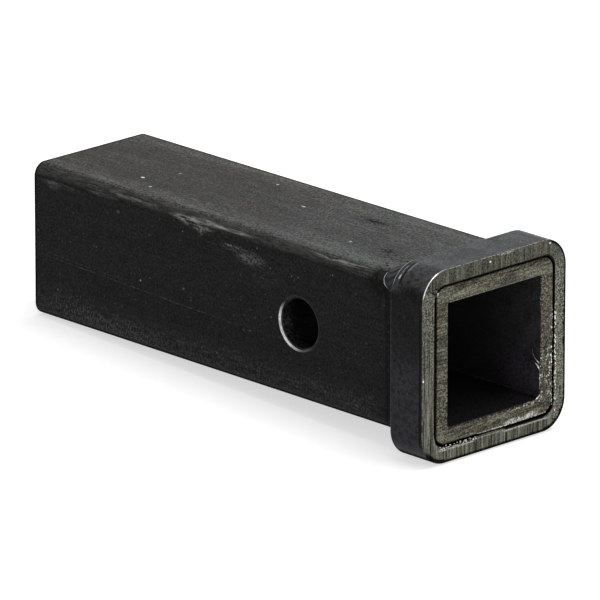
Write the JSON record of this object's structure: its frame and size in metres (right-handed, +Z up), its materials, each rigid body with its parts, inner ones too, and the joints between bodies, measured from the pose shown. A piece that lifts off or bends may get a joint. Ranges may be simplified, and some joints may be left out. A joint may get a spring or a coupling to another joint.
{
  "type": "hitch receiver tube",
  "caption": "Square steel receiver tube with a reinforcing collar round its open mouth and a cross pin hole, for a towing drawbar.",
  "frame": {"origin": "centre of the cross pin hole, on the tube's axis", "axes": "+X along the tube and out of its collared mouth, +Y along the pin hole, +Z up"},
  "size_m": [0.2286, 0.0782, 0.0783],
  "materials": {
    "tube_steel": "raw mill scale, scuffed, with bare saw-cut ends",
    "collar_steel": "smooth blue-grey mill scale with a bare saw-cut front face",
    "weld_steel": "rippled fillet weld, dark grey"
  },
  "bodies": {
    "root": {"receiver_tube": "tube_steel", "collar": "collar_steel", "weld_top": "weld_steel", "weld_bottom": "weld_steel"}
  },
  "joints": []
}
